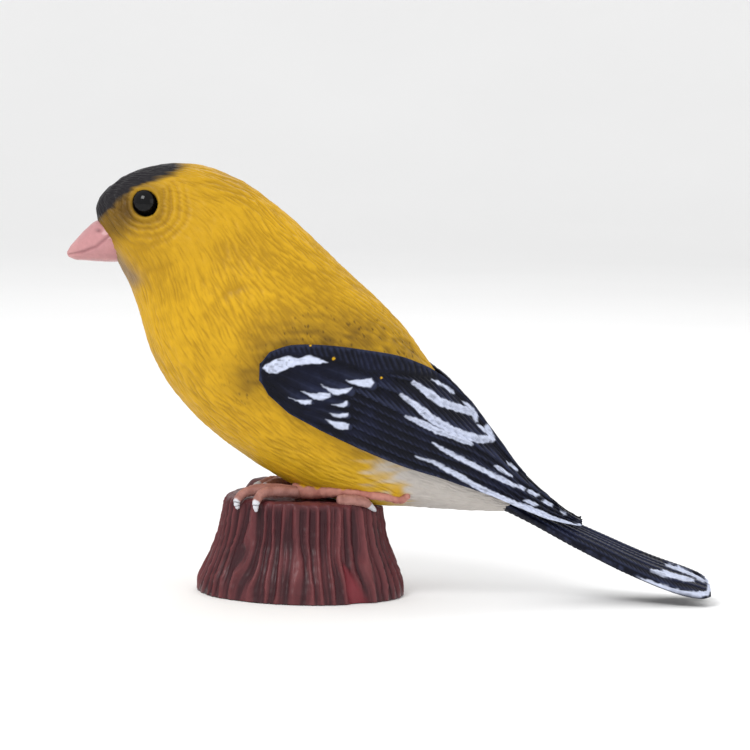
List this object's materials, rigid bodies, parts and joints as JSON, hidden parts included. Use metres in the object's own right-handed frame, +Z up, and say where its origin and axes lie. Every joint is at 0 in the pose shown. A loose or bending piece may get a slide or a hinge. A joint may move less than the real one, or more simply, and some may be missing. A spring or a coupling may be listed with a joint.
{
  "type": "motion wing songbird decoy",
  "caption": "Perched songbird decoy on a hollow stump; its folded wings flutter open, moved by a solenoid and rack inside the body and powered by button cells under the base.",
  "frame": {"origin": "centre of the stump's foot, in the plane of the table", "axes": "+Z up, +X from the bird's beak to its tail, -Y to the bird's left side"},
  "size_m": [0.1807, 0.0578, 0.1181],
  "materials": {
    "plumage": "hand-painted satin, airbrushed",
    "flight_feathers": "hand-painted satin with white marks",
    "beak": "gloss",
    "eye_bead": "high gloss",
    "leg": "satin",
    "toe": "satin",
    "bark": "lacquered",
    "base_moulding": "moulded texture",
    "knob": "moulded",
    "plated_steel": "nickel plated",
    "cell_case": "nickel plated",
    "board": "solder mask",
    "chip": "moulded",
    "lead_sleeve": "extruded",
    "screw_steel": "zinc plated",
    "drive_moulding": "natural acetal",
    "soft_iron": "zinc plated",
    "copper_wire": "enamelled"
  },
  "bodies": {
    "figure": {"body_shell_left": "plumage", "body_shell_right": "plumage", "tail": "flight_feathers", "beak": "beak", "eye_left": "eye_bead", "eye_right": "eye_bead", "tarsus_left": "leg", "tarsus_right": "leg", "foot_left": "toe", "foot_right": "toe", "stump_shell": "bark", "base_plate": "base_moulding", "switch_can": "plated_steel", "button_cells": "cell_case", "contact_coil": "plated_steel", "contact_leaf": "plated_steel", "contact_plate": "plated_steel", "pulse_board": "board", "timer_chip": "chip", "capacitor": "chip", "coil_leads": "lead_sleeve", "base_screws": "screw_steel", "bird_screws": "screw_steel", "shell_screws": "screw_steel", "board_screws": "screw_steel", "bearing_screws": "screw_steel", "door_hinge_pin": "screw_steel", "drive_chassis": "drive_moulding", "bearing_plate": "drive_moulding", "coil_bobbin": "drive_moulding", "solenoid_yoke": "soft_iron", "wing_shaft_left": "soft_iron", "wing_shaft_right": "soft_iron", "coil_winding": "copper_wire"},
    "wing_l": {"wing_left": "flight_feathers", "wing_hub_left": "drive_moulding", "wing_screw_left": "screw_steel"},
    "wing_r": {"wing_right": "flight_feathers", "wing_hub_right": "drive_moulding", "wing_screw_right": "screw_steel"},
    "drive": {"drive_rack": "drive_moulding", "plunger": "soft_iron", "rack_pin": "soft_iron", "return_spring": "plated_steel"},
    "door": {"cell_door": "base_moulding"},
    "knob": {"switch_knob": "knob"}
  },
  "joints": [
    {"name": "rack_slide", "type": "slide", "parent": "figure", "child": "drive", "axis": [0.766, 0, -0.6428], "range_m": [0, 0.004], "stiffness_N_per_m": 60, "springref_m": -0.001, "deforming": ["return_spring"]},
    {"name": "wing_left_hinge", "type": "hinge", "parent": "figure", "child": "wing_l", "pos_m": [-0.0114, -0.0155, 0.0637], "axis": [-0.6428, 0, -0.766], "range_deg": [0, 20.84]},
    {"name": "wing_right_hinge", "type": "hinge", "parent": "figure", "child": "wing_r", "pos_m": [-0.0114, 0.0155, 0.0637], "axis": [0.6428, 0, 0.766], "range_deg": [0, 20.84]},
    {"name": "cell_door_hinge", "type": "hinge", "parent": "figure", "child": "door", "pos_m": [-0.014, 0, 0.0023], "axis": [0, 1, 0], "range_deg": [0, 90]},
    {"name": "switch_slide", "type": "slide", "parent": "figure", "child": "knob", "axis": [1, 0, 0], "range_m": [0, 0.002]}
  ],
  "couplings": [
    {"joint": "wing_left_hinge", "follows": "rack_slide", "rad_per_m": 90.909},
    {"joint": "wing_right_hinge", "follows": "rack_slide", "rad_per_m": 90.909}
  ]
}
